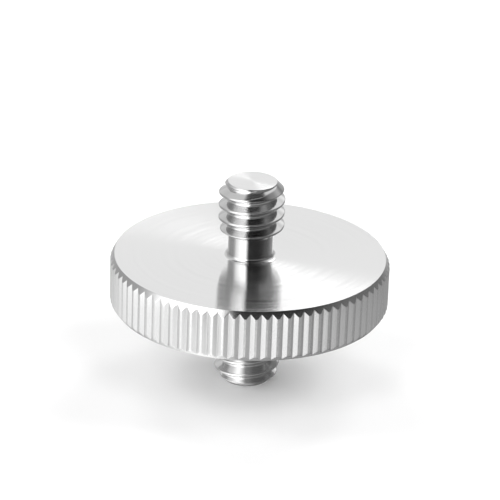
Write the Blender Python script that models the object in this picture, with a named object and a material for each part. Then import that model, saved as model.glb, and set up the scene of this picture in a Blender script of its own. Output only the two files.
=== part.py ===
# Tripod thread adapter: a knurled disc with a threaded stud on each of its two faces.
# It is turned from one bar of stainless steel, so it is one solid. Lengths are in metres, +Z runs
# up the axis, and the origin is the middle of the lower stud's end face, on which it stands.

import math

import bmesh
import bpy

MM = 0.001

# Disc: its radius is over the crests of the knurl.
DISC_RADIUS = 13.35 * MM
DISC_THICKNESS = 5.0 * MM
RIM_CHAMFER_INSET = 0.39 * MM
TOP_CHAMFER_HEIGHT = 0.64 * MM
UNDER_CHAMFER_HEIGHT = 0.52 * MM

# Straight knurl on the rim: V grooves that leave a narrow flat on each crest.
KNURL_TEETH = 82
KNURL_DEPTH = 0.245 * MM
KNURL_CREST_FLAT = 0.22 * MM
KNURL_TURN = math.radians(1.05)

# Thread of both studs: a 60 degree form, 20 turns to the inch, right-handed.
THREAD_RADIUS = 3.15 * MM
THREAD_PITCH = 1.27 * MM
THREAD_CREST_FLAT = 0.159 * MM
THREAD_ROOT_FLAT = 0.212 * MM
FLANK_ANGLE = math.radians(30)

# Studs: lengths are from the disc's face to the stud's end.
UPPER_STUD_LENGTH = 7.55 * MM
LOWER_STUD_LENGTH = 8.0 * MM
UPPER_END_STEP = 0.05 * MM
LOWER_END_STEP = 0.18 * MM
NECK_LENGTH = 2.29 * MM
NECK_STEP = 0.228 * MM
RUN_OUT_HEIGHT = 0.55 * MM
FILLET_RADIUS = 0.36 * MM

# Where each thread's crest passes the front, as a distance from the disc's face.
UPPER_CREST_DISTANCE = 4.16 * MM
LOWER_CREST_DISTANCE = 5.15 * MM

# Fineness of the mesh.
FILLET_STEPS = 4
STUD_SEGMENTS = 40
THREAD_STEPS = 32
SHARP_ANGLE = math.radians(25)
MERGE_DISTANCE = 0.0001 * MM

# How far a cutting tool reaches past the metal that it cuts.
TOOL_REACH = 0.4 * MM
TOOL_CLEARANCE = 0.02 * MM

FRONT = -math.pi / 2

# Heights and radii that follow from the sizes above.
LOWER_END = 0.0
UNDER_FACE = LOWER_END + LOWER_STUD_LENGTH
TOP_FACE = UNDER_FACE + DISC_THICKNESS
UPPER_END = TOP_FACE + UPPER_STUD_LENGTH
FACE_RADIUS = DISC_RADIUS - RIM_CHAMFER_INSET
THREAD_DEPTH = (THREAD_PITCH - THREAD_CREST_FLAT - THREAD_ROOT_FLAT) / 2 / math.tan(FLANK_ANGLE)
THREAD_ROOT_RADIUS = THREAD_RADIUS - THREAD_DEPTH
NECK_RADIUS = THREAD_ROOT_RADIUS - NECK_STEP

STEEL_COLOUR = (0.62, 0.62, 0.62, 1.0)
STEEL_ROUGHNESS = 0.28


def clear_scene():
    for item in list(bpy.data.objects):
        bpy.data.objects.remove(item, do_unlink=True)


def steel():
    material = bpy.data.materials.new("turned_steel")
    material.use_nodes = True
    shader = material.node_tree.nodes["Principled BSDF"]
    shader.inputs["Base Color"].default_value = STEEL_COLOUR
    shader.inputs["Metallic"].default_value = 1.0
    shader.inputs["Roughness"].default_value = STEEL_ROUGHNESS
    return material


def new_object(name, bm):
    bmesh.ops.remove_doubles(bm, verts=bm.verts, dist=MERGE_DISTANCE)
    bmesh.ops.recalc_face_normals(bm, faces=bm.faces)
    mesh = bpy.data.meshes.new(name)
    bm.to_mesh(mesh)
    bm.free()
    result = bpy.data.objects.new(name, mesh)
    bpy.context.collection.objects.link(result)
    return result


def stud_profile(end_step, length):
    """Half outline of a stud, as (radius, distance from the disc's face), from its end inwards."""
    end_radius = THREAD_ROOT_RADIUS - end_step
    chamfer = THREAD_RADIUS - end_radius
    points = [(0.0, length), (end_radius, length), (THREAD_RADIUS, length - chamfer)]
    points.append((THREAD_RADIUS, NECK_LENGTH + RUN_OUT_HEIGHT))
    points.append((NECK_RADIUS, NECK_LENGTH))
    for step in range(FILLET_STEPS + 1):
        angle = math.pi / 2 * step / FILLET_STEPS
        radius = NECK_RADIUS + FILLET_RADIUS * (1 - math.cos(angle))
        points.append((radius, FILLET_RADIUS * (1 - math.sin(angle))))
    return points


def stud_outline():
    """Both studs and the core between them, as (radius, height), from the lower end upwards."""
    lower = [(r, UNDER_FACE - d) for r, d in stud_profile(LOWER_END_STEP, LOWER_STUD_LENGTH)]
    upper = [(r, TOP_FACE + d) for r, d in stud_profile(UPPER_END_STEP, UPPER_STUD_LENGTH)]
    return lower + upper[::-1]


def disc_outline():
    """The disc with a chamfer on each edge, as (radius, height), from its underside upwards."""
    return [
        (0.0, UNDER_FACE),
        (FACE_RADIUS, UNDER_FACE),
        (DISC_RADIUS, UNDER_FACE + UNDER_CHAMFER_HEIGHT),
        (DISC_RADIUS, TOP_FACE - TOP_CHAMFER_HEIGHT),
        (FACE_RADIUS, TOP_FACE),
        (0.0, TOP_FACE),
    ]


def turned(name, outline, segments):
    """The outline spun round the axis, its corners a quarter tooth past the grooves' roots."""
    bm = bmesh.new()
    turn = FRONT + KNURL_TURN + math.pi / 2 / KNURL_TEETH
    verts = [bm.verts.new((r * math.cos(turn), r * math.sin(turn), z)) for r, z in outline]
    edges = [bm.edges.new(pair) for pair in zip(verts, verts[1:])]
    bmesh.ops.spin(bm, geom=verts + edges, cent=(0, 0, 0), axis=(0, 0, 1),
                   angle=2 * math.pi, steps=segments)
    return new_object(name, bm)


def knurl_tool():
    """One V prism for each groove of the knurl, wider than the groove only outside the rim."""
    half_pitch = math.pi * DISC_RADIUS / KNURL_TEETH
    half_width = half_pitch - KNURL_CREST_FLAT / 2
    slope = half_width / KNURL_DEPTH
    section = [
        (DISC_RADIUS - KNURL_DEPTH, 0.0),
        (DISC_RADIUS + TOOL_CLEARANCE, half_width + slope * TOOL_CLEARANCE),
        (DISC_RADIUS + TOOL_REACH, half_width + slope * TOOL_CLEARANCE),
        (DISC_RADIUS + TOOL_REACH, -half_width - slope * TOOL_CLEARANCE),
        (DISC_RADIUS + TOOL_CLEARANCE, -half_width - slope * TOOL_CLEARANCE),
    ]
    bm = bmesh.new()
    for tooth in range(KNURL_TEETH):
        angle = FRONT + KNURL_TURN + 2 * math.pi * tooth / KNURL_TEETH
        c, s = math.cos(angle), math.sin(angle)
        verts = [bm.verts.new((r * c - w * s, r * s + w * c, UNDER_FACE - TOOL_REACH))
                 for r, w in section]
        sweep = bmesh.ops.extrude_face_region(bm, geom=[bm.faces.new(verts)])
        top = [v for v in sweep["geom"] if isinstance(v, bmesh.types.BMVert)]
        bmesh.ops.translate(bm, verts=top, vec=(0, 0, DISC_THICKNESS + 2 * TOOL_REACH))
    return new_object("knurl_tool", bm)


def thread_tool(name, crest, bottom, top):
    """The groove's V section swept up a helix, half a pitch from a crest that passes the front."""
    root = THREAD_ROOT_FLAT / 2
    outer = root + (THREAD_DEPTH + TOOL_CLEARANCE) * math.tan(FLANK_ANGLE)
    section = [
        (THREAD_ROOT_RADIUS, -root),
        (THREAD_RADIUS + TOOL_CLEARANCE, -outer),
        (THREAD_RADIUS + TOOL_REACH, -outer),
        (THREAD_RADIUS + TOOL_REACH, outer),
        (THREAD_RADIUS + TOOL_CLEARANCE, outer),
        (THREAD_ROOT_RADIUS, root),
    ]
    turns = (top - bottom) / THREAD_PITCH
    steps = math.ceil(turns * THREAD_STEPS)
    start = FRONT + 2 * math.pi * (bottom - crest - THREAD_PITCH / 2) / THREAD_PITCH
    c, s = math.cos(start), math.sin(start)
    bm = bmesh.new()
    face = bm.faces.new([bm.verts.new((r * c, r * s, bottom + w)) for r, w in section])
    bmesh.ops.spin(bm, geom=[face], cent=(0, 0, 0), axis=(0, 0, 1),
                   dvec=(0, 0, (top - bottom) / steps),
                   angle=2 * math.pi * turns, steps=steps)
    return new_object(name, bm)


def combine(body, tool, operation):
    """Join the tool's volume to the body, or take it away."""
    tool.hide_render = True
    tool.display_type = "WIRE"
    modifier = body.modifiers.new(tool.name, "BOOLEAN")
    modifier.operation = operation
    modifier.solver = "EXACT"
    modifier.object = tool


def bake(body, tools):
    """Keep the cut form as a plain mesh, smooth on its round faces and sharp at its edges."""
    graph = bpy.context.evaluated_depsgraph_get()
    mesh = bpy.data.meshes.new_from_object(body.evaluated_get(graph))
    body.modifiers.clear()
    body.data = mesh
    for tool in tools:
        bpy.data.objects.remove(tool, do_unlink=True)
    mesh.shade_smooth()
    mesh.set_sharp_from_angle(angle=SHARP_ANGLE)


def main():
    clear_scene()
    body = turned("thread_adapter", disc_outline(), KNURL_TEETH)
    body.data.materials.append(steel())
    studs = turned("stud_blank", stud_outline(), STUD_SEGMENTS)
    combine(body, studs, "UNION")
    tools = [
        knurl_tool(),
        thread_tool("upper_thread_tool", TOP_FACE + UPPER_CREST_DISTANCE,
                    TOP_FACE + NECK_LENGTH / 2, UPPER_END + THREAD_PITCH),
        thread_tool("lower_thread_tool", UNDER_FACE - LOWER_CREST_DISTANCE,
                    LOWER_END - THREAD_PITCH, UNDER_FACE - NECK_LENGTH / 2),
    ]
    for tool in tools:
        combine(body, tool, "DIFFERENCE")
    bake(body, [studs] + tools)


main()
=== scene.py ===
# Turned steel thread adapter: a knurled disc with a threaded stud on each face, standing on the
# end of one. +Z runs up the axis, -Y is towards the camera, and angles about the axis start at
# -Y and grow towards +X. Lengths are in metres.
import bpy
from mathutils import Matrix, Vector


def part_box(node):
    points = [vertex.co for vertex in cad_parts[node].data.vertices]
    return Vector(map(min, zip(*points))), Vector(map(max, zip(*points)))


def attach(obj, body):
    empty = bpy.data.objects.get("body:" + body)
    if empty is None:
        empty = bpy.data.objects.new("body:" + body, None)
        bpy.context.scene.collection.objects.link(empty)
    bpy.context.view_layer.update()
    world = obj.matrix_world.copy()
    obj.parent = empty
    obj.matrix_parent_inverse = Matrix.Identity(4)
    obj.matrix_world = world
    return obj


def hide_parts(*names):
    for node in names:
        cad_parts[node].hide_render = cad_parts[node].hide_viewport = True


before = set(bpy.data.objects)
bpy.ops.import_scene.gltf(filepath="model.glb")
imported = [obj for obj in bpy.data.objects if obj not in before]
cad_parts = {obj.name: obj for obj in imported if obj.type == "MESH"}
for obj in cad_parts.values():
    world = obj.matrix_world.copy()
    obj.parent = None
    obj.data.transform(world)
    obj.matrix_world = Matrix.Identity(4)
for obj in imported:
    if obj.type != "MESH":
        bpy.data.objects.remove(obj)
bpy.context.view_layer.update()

import math

import bpy
import numpy as np
from bpy.props import FloatProperty, FloatVectorProperty, IntProperty, PointerProperty
from mathutils import Matrix, Vector

bl_info = {
    "name": "Turned Thread Adapter",
    "version": (1, 0, 0),
    "blender": (4, 5, 0),
    "location": "View3D > Sidebar > Thread Adapter",
    "description": "Builds a turned steel thread adapter with a knurled disc, and its studio",
    "category": "Add Mesh",
}

NODE = "thread_adapter"
LOW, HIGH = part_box(NODE)
MM = 0.001
TAU = 2 * math.pi

# Finishes of the steel, in the order of the piece's materials.
FACE, STUD, RIM, EDGE = range(4)

# Columns of the mesh for each tooth of the knurl, and those between which a crest's flat lies.
STUD_COLUMNS_PER_TOOTH = 2
RIM_COLUMNS_PER_TOOTH = 10
CREST_COLUMNS = (4, 5)

# Rings of the mesh: on the disc's faces by radius, on the necks by distance from the disc, on the
# rim's wall by share of its height, and how many there are on a flank and on a fillet.
FACE_RINGS = (2.75 * MM, 4.0 * MM, 7.0 * MM, 10.0 * MM, 12.3 * MM)
NECK_RINGS = (0.6 * MM, 1.1 * MM, 1.7 * MM)
WALL_RINGS = (0.03, 0.25, 0.5, 0.75, 0.97)
FLANK_RING_COUNT = 14
FILLET_RING_COUNT = 9

# How far the softening reaches where the thread meets a stud's blank and where a knurl groove
# meets its crest, the offset of the column beside a groove's root, how far below the thread's
# root its surface joins the rings beside it, and the width of the flat ring inside the rim.
THREAD_SOFTNESS = 0.03 * MM
KNURL_SOFTNESS = 0.016 * MM
ROOT_COLUMN_OFFSET = 0.03 * MM
THREAD_JOIN = 0.02 * MM
RIM_BORDER = 0.3 * MM


def length(name, description, millimetres):
    """A length of the object, kept in metres."""
    return FloatProperty(name=name, description=description, default=millimetres * MM,
                         min=0.0, unit="LENGTH", precision=5)


def share(name, description, default):
    """A number from 0 to 1."""
    return FloatProperty(name=name, description=description, default=default,
                         min=0.0, max=1.0, subtype="FACTOR")


class AdapterShape(bpy.types.PropertyGroup):
    """Sizes of the turned part."""
    under_face: length("Underside height", "Height of the disc's underside", 8.0)
    top_face: length("Top height", "Height of the disc's top face", 13.0)
    crest_radius: length("Crest radius", "Disc radius over the crests of the knurl", 13.34)
    face_radius: length("Face radius", "Radius of the disc's flat faces", 12.96)
    top_chamfer: length("Top chamfer", "Height of the chamfer on the top edge", 0.64)
    under_chamfer: length("Under chamfer", "Height of the chamfer on the lower edge", 0.52)
    knurl_depth: length("Knurl depth", "Depth of a knurl groove below its crests", 0.235)
    crest_flat: length("Crest flat", "Width of the flat on each knurl crest", 0.22)
    teeth: IntProperty(name="Teeth", description="Number of grooves round the rim",
                       default=82, min=12)
    knurl_turn: FloatProperty(name="Knurl turn", default=math.radians(1.05), subtype="ANGLE",
                              description="Angle of one groove from the front")
    thread_radius: length("Thread radius", "Radius over the thread's crests", 3.15)
    pitch: length("Pitch", "Height of one turn of the thread", 1.27)
    thread_crest: length("Thread crest", "Width of the flat on the thread's crest", 0.159)
    thread_root: length("Thread root", "Width of the flat at the thread's root", 0.212)
    neck_length: length("Neck length", "Length of the relief neck at each stud's foot", 2.29)
    neck_step: length("Neck step", "How far the neck lies below the thread's root", 0.228)
    run_out: length("Run-out", "Height of the shoulder between neck and thread", 0.55)
    fillet: length("Fillet", "Height of the fillet at each stud's foot", 0.36)
    fillet_width: length("Fillet width", "How far the fillet spreads on the disc's face", 0.46)
    upper_end_step: length("Upper end step", "Thread root radius less upper end radius", 0.05)
    lower_end_step: length("Lower end step", "Thread root radius less lower end radius", 0.18)
    upper_crest: length("Upper crest", "Height of a crest above the disc at the front", 4.16)
    lower_crest: length("Lower crest", "Depth of a crest below the disc at the front", 5.15)
    edge: length("Edge rounding", "How far the rounding of a turned edge reaches", 0.025)


class SteelFinish(bpy.types.PropertyGroup):
    """Colour and polish of the steel."""
    colour: FloatVectorProperty(name="Steel colour", description="Colour of the bare steel",
                                subtype="COLOR", size=3, default=(0.66, 0.66, 0.66),
                                min=0.0, max=1.0)
    face_roughness: share("Face roughness", "Roughness of the disc's faces and studs' ends", 0.14)
    stud_roughness: share("Stud roughness", "Roughness of the studs' necks and threads", 0.08)
    rim_roughness: share("Rim roughness", "Roughness of the knurl's grooves", 0.24)
    edge_roughness: share("Edge roughness", "Roughness of the chamfers and knurl crests", 0.19)


class Surface:
    """One closed surface, gathered ring by ring from its lowest point to its highest."""

    def __init__(self):
        self.points, self.triangles, self.finishes, self.count = [], [], [], 0

    def add(self, radius, angle, height):
        """Points at x = r sin a, y = -r cos a, z = height. Returns their numbers."""
        radius, angle, height = np.broadcast_arrays(radius, angle, height)
        points = np.stack([radius * np.sin(angle), -radius * np.cos(angle), height], -1)
        self.points.append(points.reshape(-1, 3))
        first, self.count = self.count, self.count + radius.size
        return np.arange(first, self.count).reshape(radius.shape)

    def cover(self, triangles, finish):
        """Keep the triangles whose three corners differ, with one finish or one for each."""
        a, b, c = triangles.T
        kept = (a != b) & (b != c) & (c != a)
        self.triangles.append(triangles[kept])
        self.finishes.append(np.broadcast_to(finish, len(triangles))[kept])

    def cells(self, grid, finish):
        """Two triangles for each cell of a grid of point numbers, rows going up the surface. The
        finish is one for all cells or one for each column."""
        a, b = grid[:-1, :-1].ravel(), grid[:-1, 1:].ravel()
        c, d = grid[1:, 1:].ravel(), grid[1:, :-1].ravel()
        finish = np.broadcast_to(finish, (2, grid.shape[0] - 1, grid.shape[1] - 1)).ravel()
        self.cover(np.concatenate([np.stack([a, b, c], 1), np.stack([a, c, d], 1)]), finish)

    def bands(self, rings, finish):
        """Join closed rings of equally many points."""
        grid = np.stack(rings)
        self.cells(np.hstack([grid, grid[:, :1]]), finish)

    def pole(self, ring, height, upwards, finish):
        """Close a ring with a fan of triangles to one point on the axis."""
        tip = self.add(0.0, 0.0, height).reshape(1).repeat(len(ring))
        self.bands([ring, tip] if upwards else [tip, ring], finish)

    def widen(self, few, many, outwards, finish):
        """Join a ring to one of several times as many points. Each part's first half is a fan
        from its own point of the smaller ring and its second half one from the next part's."""
        ratio = len(many) // len(few)
        half = ratio // 2
        start = ratio * np.arange(len(few))
        near, far = few, np.roll(few, -1)
        fans = [(near if step < half else far, many[start + step],
                 many[(start + step + 1) % len(many)]) for step in range(ratio)]
        fans.append((near, many[start + half], far))
        turned = [np.stack(fan, 1) for fan in fans]
        if outwards:
            turned = [fan[:, ::-1] for fan in turned]
        self.cover(np.concatenate(turned), finish)


def soft_min(a, b, reach):
    """The smaller of two radii, less a quarter of reach times the square of their nearness."""
    near = np.clip(1.0 - np.abs(a - b) / reach, 0.0, 1.0)
    return np.minimum(a, b) - near * near * reach / 4


def thread_form(shape, root_radius):
    """One pitch of the thread as (offset up, radius): crest flat, flank, root flat, flank."""
    crest, root, edge = shape.thread_crest / 2, shape.thread_root / 2, shape.edge
    half = shape.pitch / 2
    depth = shape.thread_radius - root_radius
    run = half - crest - root
    step = edge / math.hypot(run, depth)
    along = np.linspace(step, 1 - step, FLANK_RING_COUNT)
    up = np.concatenate([[0.0, crest - edge], crest + along * run, [half - root + edge, half]])
    radius = np.concatenate([[0.0, 0.0], along * depth, [depth, depth]])
    radius = shape.thread_radius - radius
    mirrored = (shape.pitch - up[-2:0:-1], radius[-2:0:-1])
    return np.concatenate([up, mirrored[0]]), np.concatenate([radius, mirrored[1]])


def threaded(surface, angles, low, high, bottom, top, crest, shape, root_radius, blank):
    """A thread between two rings: height = row + pitch * angle / turn, held between bottom and
    top, and radius = the softer minimum of the thread's form and the blank."""
    up, form = thread_form(shape, root_radius)
    rows = len(up)
    first = math.floor((bottom - crest) / shape.pitch - angles.max() / TAU) - 1
    last = math.ceil((top - crest) / shape.pitch - angles.min() / TAU) + 2
    row = np.arange(first * rows, last * rows)[:, None]
    height = crest + row // rows * shape.pitch + up[row % rows] + shape.pitch * angles / TAU
    radius = soft_min(form[row % rows], blank(height), THREAD_SOFTNESS)
    inside = (height > bottom) & (height < top)
    grid = np.where(height <= bottom, low, high)
    angle = np.broadcast_to(angles, height.shape)
    grid[inside] = surface.add(radius[inside], angle[inside], height[inside])
    closing = np.concatenate([grid[rows:, 0], np.full(rows, high[0])])
    surface.cells(np.hstack([grid, closing[:, None]]), STUD)


def stud(surface, angles, shape, face, outward, stud_length, end_step, crest, face_rings):
    """One stud with its neck. Its foot is a quarter ellipse from the disc's face to the neck, and
    its other corners are rounded by rings at small shares of the edge rounding. Rings go up the
    surface, so the lower stud's are turned over. Returns the ring on the disc's face."""
    depth = (shape.pitch - shape.thread_crest - shape.thread_root) / 2 * math.sqrt(3)
    root = shape.thread_radius - depth
    neck, end = root - shape.neck_step, root - end_step
    edge = shape.edge
    steep = shape.run_out / (shape.thread_radius - neck)

    def height(distance):
        return face + outward * distance

    def blank(z):
        distance = (z - face) * outward
        cone = neck + (distance - shape.neck_length) / steep
        chamfer = end + stud_length - distance
        return soft_min(cone, chamfer, THREAD_SOFTNESS)

    meet = root - THREAD_JOIN
    sweep = np.linspace(0, math.pi / 2, FILLET_RING_COUNT)
    foot = [(neck + shape.fillet_width * (1 - math.cos(a)), shape.fillet * (1 - math.sin(a)))
            for a in sweep[::-1]]
    neck_rings = foot + [(neck, distance) for distance in NECK_RINGS] + [
        (neck, shape.neck_length - 1.2 * edge),
        (neck + 0.3 * edge, shape.neck_length - 0.2 * edge),
        (neck + 1.2 * edge, shape.neck_length + 1.2 * edge * steep),
        (meet, shape.neck_length + (meet - neck) * steep),
    ]
    end_rings = [
        (meet, stud_length - (meet - end)),
        (end + 0.5 * edge, stud_length - 0.5 * edge),
        (end, stud_length - 0.18 * edge),
        (end - edge, stud_length),
        (end * 0.7, stud_length), (end * 0.3, stud_length),
    ]
    foot_ids = [surface.add(r, angles, height(d)) for r, d in neck_rings]
    end_ids = [surface.add(r, angles, height(d)) for r, d in end_rings]
    limits = sorted([height(neck_rings[-1][1]), height(end_rings[0][1])])
    if outward > 0:
        surface.bands(face_rings + foot_ids, STUD)
        threaded(surface, angles, foot_ids[-1], end_ids[0], *limits, crest, shape, root, blank)
        surface.bands(end_ids[:4], STUD)
        surface.bands(end_ids[3:], FACE)
        surface.pole(end_ids[-1], height(stud_length), True, FACE)
    else:
        surface.pole(end_ids[-1], height(stud_length), False, FACE)
        surface.bands(end_ids[:2:-1], FACE)
        surface.bands(end_ids[3::-1], STUD)
        threaded(surface, angles, end_ids[0], foot_ids[-1], *limits, crest, shape, root, blank)
        surface.bands(foot_ids[::-1], STUD)
    return foot_ids[0]


def rim_columns(shape):
    """Angle and radius of each column of the rim. A groove is two flat facets that meet at its
    root, so offset w from the root lies at radius root + slope * w, and the crest is an arc."""
    pitch = TAU / shape.teeth
    half_width = shape.crest_radius * pitch / 2 - shape.crest_flat / 2
    root = shape.crest_radius - shape.knurl_depth
    slope = shape.knurl_depth / half_width
    offset = np.array([0.0, ROOT_COLUMN_OFFSET, half_width / 2, half_width - KNURL_SOFTNESS])
    radius = np.hypot(root + slope * offset, offset)
    angle = np.arctan2(offset, root + slope * offset)
    angle = np.append(angle, [(half_width + KNURL_SOFTNESS) / shape.crest_radius, pitch / 2])
    radius = np.append(radius, [shape.crest_radius] * 2)
    angle = np.concatenate([angle, pitch - angle[-2:0:-1]])
    radius = np.concatenate([radius, radius[-2:0:-1]])
    start = shape.knurl_turn + pitch * np.arange(shape.teeth)
    return (start[:, None] + angle).ravel(), np.tile(radius, shape.teeth)


def rim(surface, shape, few):
    """Underside, knurled rim and top face: each column goes straight out, down its chamfer's
    cone to its own radius, up the wall and back in over the other chamfer."""
    angle, radius = rim_columns(shape)
    edge = shape.edge

    def corner(face, inwards, chamfer):
        """Radius and height of the rings from the flat face over its rounded edge and the
        chamfer to the wall. The chamfer's cone falls by its slope for each step outwards."""
        slope = chamfer / (shape.crest_radius - shape.face_radius)
        lean = math.atan(slope)
        c, s = math.cos(lean), math.sin(lean)
        drop = (radius - shape.face_radius) * slope
        level = face - inwards * drop
        return [
            (shape.face_radius - RIM_BORDER, face),
            (shape.face_radius - edge, face),
            (shape.face_radius - edge * 0.35, face - inwards * edge * 0.11),
            (shape.face_radius + edge * 0.2, face - inwards * edge * math.tan(lean / 2) * 0.75),
            (shape.face_radius + edge * c, face - inwards * edge * s),
            (radius * 0.5 + shape.face_radius * 0.5, face - inwards * drop * 0.5),
            (radius - 0.6 * edge * c, level + inwards * 0.6 * edge * s),
            (radius, level - inwards * 0.6 * edge),
        ]

    under = corner(shape.under_face, -1, shape.under_chamfer)
    top = corner(shape.top_face, 1, shape.top_chamfer)
    under_ids = [surface.add(r, angle, z) for r, z in under]
    top_ids = [surface.add(r, angle, z) for r, z in top]
    low, high = under[-1][1], top[-1][1]
    wall = [surface.add(radius, angle, low + (high - low) * t) for t in WALL_RINGS]
    surface.widen(few[0], under_ids[0], True, FACE)
    surface.bands(under_ids[:2], FACE)
    surface.bands(under_ids[1:], EDGE)
    flat = np.isin(np.arange(RIM_COLUMNS_PER_TOOTH), CREST_COLUMNS)
    surface.bands([under_ids[-1]] + wall + [top_ids[-1]],
                  np.tile(np.where(flat, EDGE, RIM), shape.teeth))
    surface.bands(top_ids[:0:-1], EDGE)
    surface.bands(top_ids[1::-1], FACE)
    surface.widen(few[1], top_ids[0], False, FACE)


def adapter_surface(shape):
    """The whole turned part as one closed surface."""
    surface = Surface()
    columns = STUD_COLUMNS_PER_TOOTH * shape.teeth
    angles = shape.knurl_turn + TAU * np.arange(columns) / columns
    lower = stud(surface, angles, shape, shape.under_face, -1, shape.under_face - LOW.z,
                 shape.lower_end_step, shape.under_face - shape.lower_crest, None)
    under = [surface.add(r, angles, shape.under_face) for r in FACE_RINGS]
    surface.bands([lower] + under, FACE)
    top = [surface.add(r, angles, shape.top_face) for r in FACE_RINGS[::-1]]
    rim(surface, shape, (under[-1], top[0]))
    surface.bands(top, FACE)
    stud(surface, angles, shape, shape.top_face, 1, HIGH.z - shape.top_face,
         shape.upper_end_step, shape.top_face + shape.upper_crest, [top[-1]])
    return surface


def weighted_normals(points, triangles):
    """Point normals as the sum of the normals of the faces round each, weighted by their area."""
    a, b, c = (points[triangles[:, i]] for i in range(3))
    face = np.cross(b - a, c - a)
    total = np.zeros_like(points)
    for corner in range(3):
        np.add.at(total, triangles[:, corner], face)
    size = np.linalg.norm(total, axis=1, keepdims=True)
    return total / np.where(size > 0, size, 1)


def new_object(name, data):
    """An object at the origin, linked to the scene."""
    result = bpy.data.objects.new(name, data)
    bpy.context.scene.collection.objects.link(result)
    return result


def mesh_object(name, surface, materials):
    """The object of a gathered surface, shaded smooth by its weighted normals."""
    points = np.concatenate(surface.points)
    triangles = np.concatenate(surface.triangles)
    mesh = bpy.data.meshes.new(name)
    mesh.vertices.add(len(points))
    mesh.vertices.foreach_set("co", points.astype(np.float32).ravel())
    mesh.loops.add(triangles.size)
    mesh.loops.foreach_set("vertex_index", triangles.astype(np.int32).ravel())
    mesh.polygons.add(len(triangles))
    mesh.polygons.foreach_set("loop_start", np.arange(0, triangles.size, 3, dtype=np.int32))
    mesh.polygons.foreach_set("material_index", np.concatenate(surface.finishes).astype(np.int32))
    mesh.update(calc_edges=True)
    if mesh.validate():
        raise RuntimeError(f"{name}: the mesh needed repair")
    mesh.shade_smooth()
    mesh.normals_split_custom_set_from_vertices(weighted_normals(points, triangles))
    for material in materials:
        mesh.materials.append(material)
    return new_object(name, mesh)


def node_maker(tree):
    """A function that adds a node to a tree. A socket among its values is linked to the node's
    input, and any other value is set on it."""

    def node(kind, values=(), **settings):
        made = tree.nodes.new(kind)
        for key, value in settings.items():
            setattr(made, key, value)
        for socket, value in dict(values).items():
            if isinstance(value, bpy.types.NodeSocket):
                tree.links.new(value, made.inputs[socket])
            else:
                made.inputs[socket].default_value = value
        return made

    return node


def new_material(name):
    """A material with only a Principled shader, and a function that adds nodes to it."""
    material = bpy.data.materials.new(name)
    material.use_nodes = True
    tree = material.node_tree
    return material, tree.nodes["Principled BSDF"], node_maker(tree)


def bare_steel(name, colour):
    """A metal of one colour, and a function that varies its polish and its relief."""
    material, steel, node = new_material(name)
    links = material.node_tree.links
    steel.inputs["Base Color"].default_value = (*colour, 1.0)
    steel.inputs["Metallic"].default_value = 1.0

    def vary(polish, roughness, spread, relief, height):
        """Let the roughness follow the noise polish, within a share, spread, of its middle
        value, and the surface's height the noise relief."""
        rough = node("ShaderNodeMapRange", {
            "Value": polish, "From Min": 0.3, "From Max": 0.7,
            "To Min": roughness * (1 - spread), "To Max": roughness * (1 + spread)})
        bump = node("ShaderNodeBump", {"Height": relief, "Strength": 1.0, "Distance": height})
        links.new(rough.outputs[0], steel.inputs["Roughness"])
        links.new(bump.outputs[0], steel.inputs["Normal"])

    return material, steel, node, vary


def profile_distance(node):
    """Distance along a turned outline in millimetres: radius from the axis plus 1.37 times the
    height, so that the rings on a wall don't repeat those on a face."""
    place = node("ShaderNodeTexCoord").outputs["Object"]
    scaled = node("ShaderNodeVectorMath", {0: place, 3: 1 / MM}, operation="SCALE").outputs[0]
    split = node("ShaderNodeSeparateXYZ", {0: scaled})
    flat = node("ShaderNodeCombineXYZ", {0: split.outputs[0], 1: split.outputs[1]}).outputs[0]
    radius = node("ShaderNodeVectorMath", {0: flat}, operation="LENGTH").outputs["Value"]
    height = node("ShaderNodeMath", {0: split.outputs[2], 1: 1.37}, operation="MULTIPLY")
    return node("ShaderNodeMath", {0: radius, 1: height.outputs[0]}, operation="ADD").outputs[0]


def turned_steel(name, colour, roughness, relief):
    """Bare steel cut on a lathe: rings too fine to see make it rough across the rings and
    glossy along them, and coarser rings of noise vary the height and the roughness."""
    material, steel, node, vary = bare_steel(name, colour)
    along = profile_distance(node)
    fine = node("ShaderNodeTexNoise", {"W": along, "Scale": 9.0, "Detail": 3.0, "Roughness": 0.6},
                noise_dimensions="1D").outputs["Fac"]
    coarse = node("ShaderNodeTexNoise", {"W": along, "Scale": 1.7, "Detail": 2.0},
                  noise_dimensions="1D").outputs["Fac"]
    vary(coarse, roughness, 0.15, fine, relief)
    steel.inputs["Anisotropic"].default_value = 1.0
    steel.inputs["Anisotropic Rotation"].default_value = 0.25
    tangent = node("ShaderNodeTangent", direction_type="RADIAL", axis="Z")
    material.node_tree.links.new(tangent.outputs[0], steel.inputs["Tangent"])
    return material


def knurled_steel(name, colour, roughness, relief):
    """Steel pressed by a knurling wheel: fine upright drag lines and a mottled polish."""
    material, _, node, vary = bare_steel(name, colour)
    place = node("ShaderNodeTexCoord").outputs["Object"]
    stretched = node("ShaderNodeMapping", {"Vector": place, "Scale": (9000, 9000, 500)})
    drag = node("ShaderNodeTexNoise", {"Vector": stretched.outputs[0], "Scale": 1.0,
                                       "Detail": 3.0}).outputs["Fac"]
    vary(drag, roughness, 0.2, drag, relief)
    return material


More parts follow.
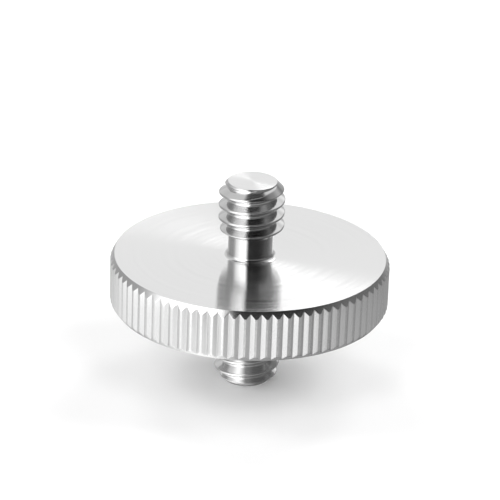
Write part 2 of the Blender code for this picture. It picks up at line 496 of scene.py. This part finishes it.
class MakeAdapter(bpy.types.Operator):
    """Build the disc and both studs as one closed piece of turned steel"""
    bl_idname = "thread_adapter.make_adapter"
    bl_label = "Make Adapter"

    def execute(self, context):
        finish = context.scene.adapter_finish
        colour = tuple(finish.colour)
        # The last value of each is the height of its relief.
        materials = [
            turned_steel("turned_face_steel", colour, finish.face_roughness, 0.0006 * MM),
            turned_steel("turned_stud_steel", colour, finish.stud_roughness, 0.0003 * MM),
            knurled_steel("knurled_steel", colour, finish.rim_roughness, 0.001 * MM),
            turned_steel("turned_edge_steel", colour, finish.edge_roughness, 0.0008 * MM),
        ]
        piece = mesh_object("turned_adapter", adapter_surface(context.scene.adapter_shape),
                            materials)
        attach(piece, "root")
        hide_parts(NODE)
        return {"FINISHED"}


# Name, azimuths, elevations, levels from left to right, fades of left, right, lower and upper
# edge, and lean. A card nearer the top of the list stands in front of those below it.
CARDS = [
    ("back_light", (160, 180), (27, 50), (4.6, 4.6), (0.35, 0.35, 0.3, 0.3), 0.0),
    ("back_card", (140, 206), (6, 68), (1.14, 1.14), (0.2, 0.3, 0.2, 0.15), 0.0),
    ("black_flag", (-18, 77), (15, 60), (0.02, 0.02), (0.22, 0.35, 0.08, 0.2), -0.4),
    ("front_card", (-23, 110), (-60, 19), (0.2, 0.24, 0.24), (0.15, 0.25, 0, 0.04), -0.15),
    ("front_high_card", (-30, 72), (46, 80), (0.03, 0.03), (0.2, 0.3, 0, 0.15), -0.15),
    ("roof_card", (-180, 180), (68, 90), (0.55, 0.55), (0, 0, 0.35, 0), 0.0),
    ("softbox", (-100, 6), (-60, 64), (2.6, 2.6), (0.65, 0, 0, 0.1), -0.25),
    ("right_card", (20, 176), (-60, 40), (0.02, 0.07, 0.2, 0.65), (0, 0.05, 0, 0.25), 0.0),
    ("right_high_card", (20, 140), (12, 72), (0.02, 0.07, 0.34, 1.1), (0, 0.2, 0, 0), 0.0),
    ("left_card", (-178, -80), (-60, 16), (0.62, 0.5, 0.36, 0.55), (0.06, 0, 0, 0.3), 0.0),
    ("left_mid_card", (-152, -84), (-10, 44), (0.5, 0.5), (0.3, 0, 0, 0.5), 0.0),
    ("left_high_card", (-172, -80), (0, 80), (0.75, 0.85), (0.15, 0, 0, 0), 0.0),
]
CARD_DISTANCE = 0.5
CARD_SPACING = 0.01
CARD_CENTRE = 10 * MM

# A dark strip overhead: where its sides and its near and far edge lie, as shares of its height,
# then levels and fades.
STRIP = ("dark_strip", (-0.36, 0.36), (-0.03, 0.2), (0.02, 0.02), (0.2, 0.2, 0.1, 0.15))
STRIP_HEIGHT = 0.4

# Flat rings on the ground that glow only in reflections and paint light and shade there. One is a
# painted reflection of the pale table top as the disc's rim reflects it, brighter at the front
# left and darker on the right. The others are painted shade of the ground below the disc, below
# the rim's edge, at the lower stud's foot and along its contact, as that stud reflects them, with
# painted light at the front left. Each has a name, its inner and outer radius, and levels once
# round from the back by the left and the front.
GROUND = [
    # Painted reflection of the table top: brighter at the front left, darker on the right.
    ("table_card", 22 * MM, 45 * MM,
     (0.5, 0.55, 0.87, 0.9, 1.18, 1.2, 1.22, 0.64, 0.53, 0.46, 0.4, 0.42, 0.5)),
    # Painted shade of the ground below the rim's edge.
    ("rim_foot_card", 11.6 * MM, 13.6 * MM, (0.5, 0.5, 0.55, 0.6, 0.6, 0.55, 0.5)),
    # Painted shade of the ground in the disc's shadow, darkest on the right, with painted light
    # from the softbox at the front left.
    ("under_card", 3.4 * MM, 20 * MM,
     (0.75, 0.72, 0.58, 0.52, 1.3, 2.4, 0.42, 0.2, 0.17, 0.2, 0.33, 0.5, 0.75)),
    # Painted shade at the lower stud's foot, darkest on the right, with painted light at the
    # front left.
    ("foot_card", 2.3 * MM, 3.4 * MM,
     (0.3, 0.4, 0.5, 0.6, 0.85, 0.9, 0.45, 0.16, 0.12, 0.14, 0.2, 0.25, 0.3)),
    # Painted contact shadow along the lower stud's end, where it meets the ground.
    ("contact_card", 1.8 * MM, 2.3 * MM, (0.08, 0.08)),
]
# A ring's height over the ground times its width: a narrower ring lies higher and covers a wider.
GROUND_LIFT = 0.02 * MM * MM

# Azimuth, elevation and power of each lamp. They light the floor and don't show in reflections.
LAMPS = [(azimuth, 45, 0.68) for azimuth in range(-150, 180, 60)] + [
    (-150, 25, 0.25), (-90, 25, 0.35), (-30, 25, 0.25), (0, 25, 0.35), (30, 25, 0.25),
    (90, 25, 0.93), (150, 25, 0.25), (180, 25, 0.16),
]
LAMP_SIZE = 0.2
LAMP_DISTANCE = 0.6

FLOOR_HALF_SIDE = 2.0
FLOOR_WHITE = 0.9
WORLD_LIGHT_ON_FLOOR = 0.31
CARD_UV = "card"


def glow_material(name, levels, fades):
    """Plain light that runs through evenly spaced levels along the first card coordinate. It is
    clear at each faded edge and full from that edge's share of the card onwards."""
    material, _, node = new_material(name)
    material.node_tree.nodes.clear()
    place = node("ShaderNodeSeparateXYZ", {0: node("ShaderNodeUVMap", uv_map=CARD_UV).outputs[0]})
    brightest, last = max(levels), len(levels) - 1
    ramp = node("ShaderNodeValToRGB", {0: place.outputs[0]})
    ramp.color_ramp.interpolation = "EASE"
    stops = ramp.color_ramp.elements
    for index, value in enumerate(levels):
        if 0 < index < last:
            stop = stops.new(index / last)
        else:
            stop = stops[-1 if index else 0]
        stop.color = (*[value / brightest] * 3, 1)
    level = node("ShaderNodeMath", {0: ramp.outputs[0], 1: brightest},
                 operation="MULTIPLY").outputs[0]
    glow = node("ShaderNodeEmission", {"Color": (1, 1, 1, 1), "Strength": level}).outputs[0]
    cover = None
    for edge, width in enumerate(fades):
        if not width:
            continue
        far = edge % 2
        fade = node("ShaderNodeMapRange", {
            "Value": place.outputs[edge // 2], "From Min": 1.0 if far else 0.0,
            "From Max": 1.0 - width if far else width},
            interpolation_type="SMOOTHSTEP").outputs[0]
        cover = fade if cover is None else node(
            "ShaderNodeMath", {0: cover, 1: fade}, operation="MULTIPLY").outputs[0]
    if cover is not None:
        clear = node("ShaderNodeBsdfTransparent").outputs[0]
        glow = node("ShaderNodeMixShader", {0: cover, 1: clear, 2: glow}).outputs[0]
    node("ShaderNodeOutputMaterial", {0: glow})
    return material


def reflector(name, points, levels, fades=(0, 0, 0, 0)):
    """A studio card seen only in reflections, on a grid of points (rows up, columns from left
    to right). Its light runs through evenly spaced levels from left to right, and its left,
    right, lower and upper edges fade over shares of its width or height."""
    rows, columns = points.shape[:2]
    u, v = np.meshgrid(np.linspace(0, 1, columns), np.linspace(0, 1, rows))
    number = np.arange(u.size).reshape(u.shape)
    quads = np.stack([number[:-1, :-1], number[:-1, 1:], number[1:, 1:], number[1:, :-1]], -1)
    quads = quads.reshape(-1, 4)
    mesh = bpy.data.meshes.new(name)
    mesh.from_pydata(points.reshape(-1, 3).tolist(), [], quads.tolist())
    corners = np.stack([u, v], -1).reshape(-1, 2)[quads.ravel()]
    layer = mesh.uv_layers.new(name=CARD_UV)
    layer.data.foreach_set("uv", corners.astype(np.float32).ravel())
    mesh.materials.append(glow_material(name, levels, fades))
    result = new_object(name, mesh)
    result.visible_camera = result.visible_diffuse = result.visible_shadow = False
    result.visible_transmission = result.visible_volume_scatter = False


def card(name, azimuths, elevations, levels, fades, lean, distance):
    """A curved card: the part of a sphere round the object from one azimuth and elevation to
    another, in degrees. Its azimuth moves by lean for each degree of elevation."""
    u, v = np.meshgrid(np.linspace(0, 1, 49), np.linspace(0, 1, 33))
    elevation = elevations[0] + (elevations[1] - elevations[0]) * v
    azimuth = np.radians(azimuths[0] + (azimuths[1] - azimuths[0]) * u + lean * elevation)
    elevation = np.radians(elevation)
    flat = distance * np.cos(elevation)
    height = CARD_CENTRE + distance * np.sin(elevation)
    points = np.stack([flat * np.sin(azimuth), -flat * np.cos(azimuth), height], -1)
    reflector(name, points, levels, fades)


def overhead_strip(name, sides, edges, levels, fades):
    """A flat level card above the object."""
    x, y = np.meshgrid(np.array(sides) * STRIP_HEIGHT, np.array(edges) * STRIP_HEIGHT)
    reflector(name, np.stack([x, y, np.full_like(x, STRIP_HEIGHT)], -1), levels, fades)


def ground_card(name, inner, outer, levels):
    """A flat ring on the ground that glows only in reflections and paints light and shade there,
    its levels running from the back round by the left and the front.
    """
    radius, turn = np.meshgrid([outer, inner], np.linspace(-math.pi, math.pi, 97), indexing="ij")
    height = np.full_like(turn, GROUND_LIFT / (outer - inner))
    points = np.stack([radius * np.sin(turn), -radius * np.cos(turn), height], -1)
    reflector(name, points, levels)


def make_floor():
    """A pale floor that keeps the shadow and that reflections don't see."""
    side = FLOOR_HALF_SIDE
    mesh = bpy.data.meshes.new("floor")
    mesh.from_pydata([(-side, -side, 0), (side, -side, 0), (side, side, 0), (-side, side, 0)],
                     [], [(0, 1, 2, 3)])
    material, shader, _ = new_material("floor")
    shader.inputs["Base Color"].default_value = (*[FLOOR_WHITE] * 3, 1)
    shader.inputs["Roughness"].default_value = 1.0
    shader.inputs["Specular IOR Level"].default_value = 0.0
    mesh.materials.append(material)
    floor = new_object("floor", mesh)
    floor.visible_glossy = False


def make_world():
    """A world that the camera and reflections see as white, and that lights the floor less."""
    world = bpy.data.worlds.new("studio")
    bpy.context.scene.world = world
    world.use_nodes = True
    tree = world.node_tree
    node = node_maker(tree)
    rays = node("ShaderNodeLightPath").outputs
    seen = rays["Is Camera Ray"]
    for kind in ("Is Glossy Ray", "Is Transmission Ray"):
        seen = node("ShaderNodeMath", {0: seen, 1: rays[kind]}, operation="MAXIMUM").outputs[0]
    strength = node("ShaderNodeMapRange", {"Value": seen, "To Min": WORLD_LIGHT_ON_FLOOR,
                                           "To Max": 1.0}).outputs[0]
    backdrop = tree.nodes["Background"]
    backdrop.inputs["Color"].default_value = (1, 1, 1, 1)
    tree.links.new(strength, backdrop.inputs["Strength"])


def make_lamp(name, azimuth, elevation, power):
    """A square soft lamp that points at the object."""
    data = bpy.data.lights.new(name, "AREA")
    data.energy, data.size = power, LAMP_SIZE
    lamp = new_object(name, data)
    a, e = math.radians(azimuth), math.radians(elevation)
    way = Vector((math.sin(a) * math.cos(e), -math.cos(a) * math.cos(e), math.sin(e)))
    lamp.location = way * LAMP_DISTANCE
    lamp.rotation_euler = way.to_track_quat("Z", "Y").to_euler()
    lamp.visible_glossy = False


def make_camera():
    """The photograph's camera: a pinhole whose position was fitted to the object's edges. Angles
    are in radians, lengths in millimetres and the focal length in pixels."""
    elevation, distance, focal, roll = 0.41604583, 256.75, 2691.41751, 0.0339497904
    pixels, sensor = 500, 36.0
    centre = np.array([0.0, 0.0, 13.0])
    eye = centre + distance * np.array([0, -math.cos(elevation), math.sin(elevation)])
    target = centre + np.array([-0.0373466643, 0, 0.411352044])
    forward = (target - eye) / np.linalg.norm(target - eye)
    right = np.cross(forward, (0, 0, 1))
    right /= np.linalg.norm(right)
    up = np.cross(right, forward)
    c, s = math.cos(roll), math.sin(roll)
    right, up = c * right + s * up, -s * right + c * up
    data = bpy.data.cameras.new("camera")
    data.sensor_width, data.lens = sensor, focal / pixels * sensor
    data.clip_start, data.clip_end = 0.01, 10.0
    camera = new_object("camera", data)
    turn = Matrix([right, up, -forward]).transposed()
    camera.matrix_world = Matrix.Translation(Vector(eye * MM)) @ turn.to_4x4()
    bpy.context.scene.camera = camera


class MakeStudio(bpy.types.Operator):
    """Make the floor, the world, the reflection cards, the lamps and the camera"""
    bl_idname = "thread_adapter.make_studio"
    bl_label = "Make Studio"

    def execute(self, context):
        make_floor()
        make_world()
        for number, row in enumerate(CARDS):
            card(*row, distance=CARD_DISTANCE + CARD_SPACING * number)
        overhead_strip(*STRIP)
        for row in GROUND:
            ground_card(*row)
        for number, row in enumerate(LAMPS):
            make_lamp(f"lamp_{number + 1}", *row)
        make_camera()
        context.scene.view_settings.view_transform = "Standard"
        return {"FINISHED"}


class AdapterPanel(bpy.types.Panel):
    """Sizes, finish and steps of the thread adapter"""
    bl_idname = "VIEW3D_PT_thread_adapter"
    bl_label = "Thread Adapter"
    bl_space_type = "VIEW_3D"
    bl_region_type = "UI"
    bl_category = "Thread Adapter"

    def draw(self, context):
        for group in (context.scene.adapter_shape, context.scene.adapter_finish):
            box = self.layout.box()
            for key in group.bl_rna.properties.keys():
                if key not in {"rna_type", "name"}:
                    box.prop(group, key)
        for operator in OPERATORS:
            self.layout.operator(operator.bl_idname)


OPERATORS = (MakeAdapter, MakeStudio)
CLASSES = (AdapterShape, SteelFinish, *OPERATORS, AdapterPanel)


def register():
    for item in CLASSES:
        bpy.utils.register_class(item)
    bpy.types.Scene.adapter_shape = PointerProperty(type=AdapterShape)
    bpy.types.Scene.adapter_finish = PointerProperty(type=SteelFinish)


def unregister():
    del bpy.types.Scene.adapter_finish
    del bpy.types.Scene.adapter_shape
    for item in reversed(CLASSES):
        bpy.utils.unregister_class(item)


def main():
    """Build the adapter and its studio."""
    register()
    bpy.ops.thread_adapter.make_adapter()
    bpy.ops.thread_adapter.make_studio()


if __name__ == "__main__":
    main()
